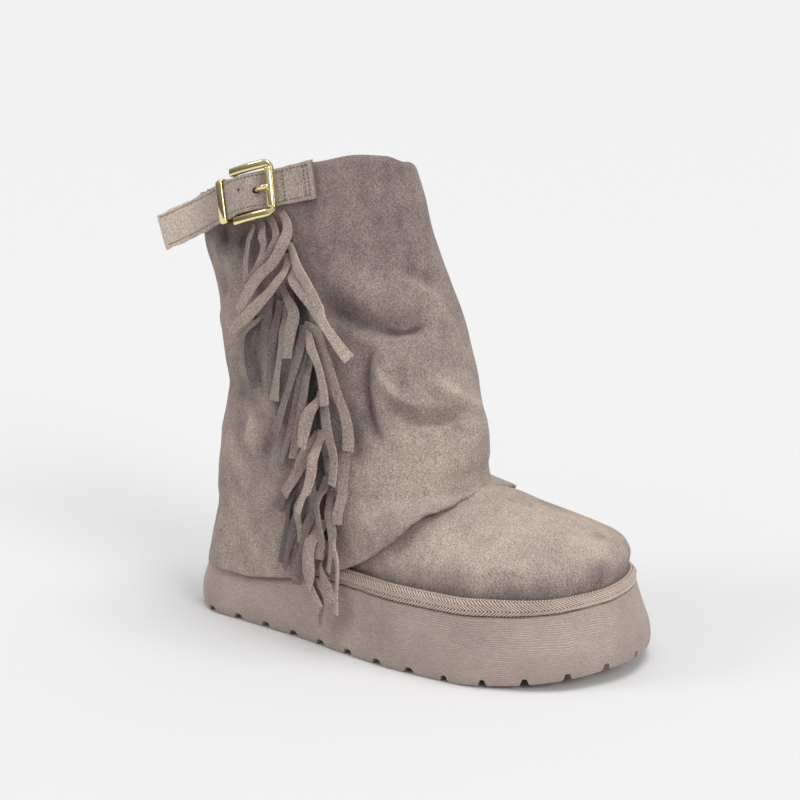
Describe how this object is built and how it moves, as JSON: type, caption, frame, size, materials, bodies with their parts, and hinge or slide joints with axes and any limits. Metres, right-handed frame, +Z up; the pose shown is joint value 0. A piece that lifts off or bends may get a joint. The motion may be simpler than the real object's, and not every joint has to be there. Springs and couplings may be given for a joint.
{
  "type": "platform boot",
  "caption": "Mid-calf fold-over platform boot with a slouched suede shaft cover, a hanging fringe and a buckled side strap, for the right foot.",
  "frame": {"origin": "on the floor under the middle of the heel, where the sole's flat underside rests", "axes": "+X from heel to toe, +Y to the inner side of the foot, +Z up; the buckled outer side is -Y"},
  "size_m": [0.2922, 0.1204, 0.255],
  "materials": {
    "suede": "soft suede nap, matt",
    "platform": "fine moulded ribs, low sheen",
    "tape": "herringbone weave, matt",
    "lining": "brushed, matt",
    "gilt": "pale gold plating, polished"
  },
  "bodies": {
    "root": {"outsole": "platform", "welt_tape": "tape", "insole": "lining", "upper": "suede", "shaft_cover": "suede", "fringe": "suede", "strap": "suede", "chape": "suede", "keeper": "gilt", "buckle_frame": "gilt", "buckle_prong": "gilt"}
  },
  "joints": []
}
